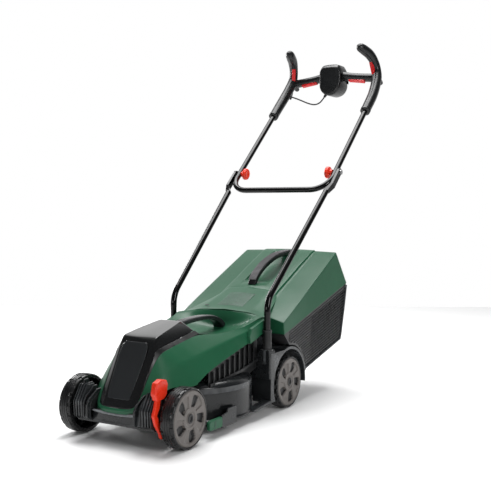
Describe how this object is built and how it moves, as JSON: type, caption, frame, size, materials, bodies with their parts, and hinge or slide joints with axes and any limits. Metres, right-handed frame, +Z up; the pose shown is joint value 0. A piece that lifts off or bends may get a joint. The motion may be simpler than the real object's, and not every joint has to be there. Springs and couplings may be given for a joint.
{
  "type": "walk-behind lawn mower",
  "caption": "Battery rotary lawn mower with a folding tube handle, rear grass box, rod-linked height lever and hinged battery lid.",
  "frame": {"origin": "centre of the footprint on the ground", "axes": "+Z up, -Y the front that is pushed forward, +X the operator's left"},
  "size_m": [0.3976, 1.3, 1.1432],
  "materials": {
    "green_abs": "satin moulded",
    "dark_deck": "satin moulded",
    "gloss_black": "gloss moulded",
    "black_trim": "fine texture",
    "tyre_black": "moulded tread",
    "hub_grey": "satin",
    "red_plastic": "semi gloss",
    "red_pad": "satin",
    "tube_black": "gloss powder coat",
    "steel": "plated",
    "grip_black": "satin, fine grain",
    "cable_black": "matt sheath",
    "board_green": "solder mask"
  },
  "bodies": {
    "root": {"deck_housing": "dark_deck", "grass_combs": "green_abs", "top_cover": "green_abs", "lid_surround": "black_trim", "battery_dock": "black_trim", "control_board": "board_green", "side_louvre_left": "black_trim", "side_louvre_right": "black_trim", "carry_handle": "black_trim", "motor": "steel", "motor_screws": "steel", "crank_bushes": "black_trim", "lower_tube_left": "tube_black", "lower_tube_right": "tube_black", "tube_sleeves": "black_trim", "handle_bolts": "steel", "flap_pin": "steel", "flap_brackets": "green_abs"},
    "front_crank": {"front_crank": "tube_black", "front_axle_clips": "steel", "height_lever": "red_plastic"},
    "rear_crank": {"rear_crank": "tube_black", "rear_axle_clips": "steel"},
    "height_link": {"height_link": "steel"},
    "spindle": {"motor_shaft": "steel", "blade_holder": "black_trim", "blade": "steel", "blade_bolt": "steel"},
    "battery_lid": {"battery_lid": "gloss_black"},
    "battery_pack": {"battery_pack": "black_trim"},
    "rear_flap": {"rear_flap": "green_abs"},
    "grass_box": {"box_top": "green_abs", "box_lower": "black_trim", "box_slats_left": "black_trim", "box_slats_right": "black_trim", "box_handle": "hub_grey"},
    "upper_handle": {"upper_tube": "tube_black", "grip_left": "grip_black", "grip_right": "grip_black", "grip_bar_left": "grip_black", "grip_bar_right": "grip_black", "switch_drum": "grip_black", "switch_hood": "grip_black", "cable_gland": "cable_black", "switch_cable": "cable_black"},
    "horn_trigger_left": {"horn_trigger_left": "red_pad"},
    "horn_trigger_right": {"horn_trigger_right": "red_pad"},
    "bar_trigger_left": {"bar_trigger_left": "red_pad"},
    "bar_trigger_right": {"bar_trigger_right": "red_pad"},
    "lock_button": {"lock_button": "grip_black"},
    "knob_left": {"knob_left": "red_plastic"},
    "knob_right": {"knob_right": "red_plastic"},
    "wheel_front_left": {"wheel_front_left": "tyre_black", "hub_cap_front_left": "hub_grey"},
    "wheel_front_right": {"wheel_front_right": "tyre_black", "hub_cap_front_right": "hub_grey"},
    "wheel_rear_left": {"wheel_rear_left": "tyre_black", "hub_cap_rear_left": "hub_grey"},
    "wheel_rear_right": {"wheel_rear_right": "tyre_black", "hub_cap_rear_right": "hub_grey"}
  },
  "joints": [
    {"name": "height_front", "type": "hinge", "parent": "root", "child": "front_crank", "pos_m": [0, -0.522, 0.075], "axis": [1, 0, 0], "range_deg": [-22, 22]},
    {"name": "height_rear", "type": "hinge", "parent": "root", "child": "rear_crank", "pos_m": [0, -0.019, 0.075], "axis": [1, 0, 0], "range_deg": [-22, 22]},
    {"name": "height_link_pivot", "type": "hinge", "parent": "front_crank", "child": "height_link", "pos_m": [-0.1055, -0.522, 0.128], "axis": [1, 0, 0], "range_deg": [-22, 22]},
    {"name": "wheel_spin_front_left", "type": "hinge", "parent": "front_crank", "child": "wheel_front_left", "pos_m": [0.159, -0.562, 0.075], "axis": [1, 0, 0], "continuous": true},
    {"name": "wheel_spin_front_right", "type": "hinge", "parent": "front_crank", "child": "wheel_front_right", "pos_m": [-0.159, -0.562, 0.075], "axis": [1, 0, 0], "continuous": true},
    {"name": "wheel_spin_rear_left", "type": "hinge", "parent": "rear_crank", "child": "wheel_rear_left", "pos_m": [0.159, -0.059, 0.075], "axis": [1, 0, 0], "continuous": true},
    {"name": "wheel_spin_rear_right", "type": "hinge", "parent": "rear_crank", "child": "wheel_rear_right", "pos_m": [-0.159, -0.059, 0.075], "axis": [1, 0, 0], "continuous": true},
    {"name": "blade_spin", "type": "hinge", "parent": "root", "child": "spindle", "pos_m": [0, -0.312, 0.06], "axis": [0, 0, 1], "continuous": true},
    {"name": "battery_lid_hinge", "type": "hinge", "parent": "root", "child": "battery_lid", "pos_m": [0, -0.3925, 0.279], "axis": [-1, 0, 0], "range_deg": [0, 75]},
    {"name": "battery_slide", "type": "slide", "parent": "root", "child": "battery_pack", "axis": [0, 0.4871, 0.8734], "range_m": [0, 0.012]},
    {"name": "rear_flap_hinge", "type": "hinge", "parent": "root", "child": "rear_flap", "pos_m": [0, -0.115, 0.262], "axis": [1, 0, 0], "range_deg": [0, 70], "stiffness_Nm_per_rad": 0.25, "springref_deg": -34.38},
    {"name": "grass_box_lift_off", "type": "slide", "parent": "root", "child": "grass_box", "axis": [0, 1, 0], "range_m": [0, 0.25]},
    {"name": "handle_fold", "type": "hinge", "parent": "root", "child": "upper_handle", "pos_m": [0, 0.2434, 0.6881], "axis": [1, 0, 0], "range_deg": [0, 158]},
    {"name": "lock_press", "type": "slide", "parent": "upper_handle", "child": "lock_button", "axis": [0, -1, 0], "range_m": [0, 0.004], "stiffness_N_per_m": 500},
    {"name": "knob_turn_left", "type": "hinge", "parent": "root", "child": "knob_left", "pos_m": [0.155, 0.2434, 0.6881], "axis": [1, 0, 0], "continuous": true},
    {"name": "knob_turn_right", "type": "hinge", "parent": "root", "child": "knob_right", "pos_m": [-0.155, 0.2434, 0.6881], "axis": [1, 0, 0], "continuous": true},
    {"name": "horn_press_left", "type": "slide", "parent": "upper_handle", "child": "horn_trigger_left", "axis": [0.4417, 0.8535, 0.2765], "range_m": [0, 0.0035], "stiffness_N_per_m": 500},
    {"name": "bar_press_left", "type": "slide", "parent": "upper_handle", "child": "bar_trigger_left", "axis": [0.1274, 0.45, 0.8839], "range_m": [0, 0.0035], "stiffness_N_per_m": 500},
    {"name": "horn_press_right", "type": "slide", "parent": "upper_handle", "child": "horn_trigger_right", "axis": [-0.4417, 0.8535, 0.2765], "range_m": [0, 0.0035], "stiffness_N_per_m": 500},
    {"name": "bar_press_right", "type": "slide", "parent": "upper_handle", "child": "bar_trigger_right", "axis": [-0.1274, 0.45, 0.8839], "range_m": [0, 0.0035], "stiffness_N_per_m": 500}
  ],
  "couplings": [
    {"joint": "height_rear", "follows": "height_front", "ratio": 1},
    {"joint": "height_link_pivot", "follows": "height_front", "ratio": -1}
  ]
}
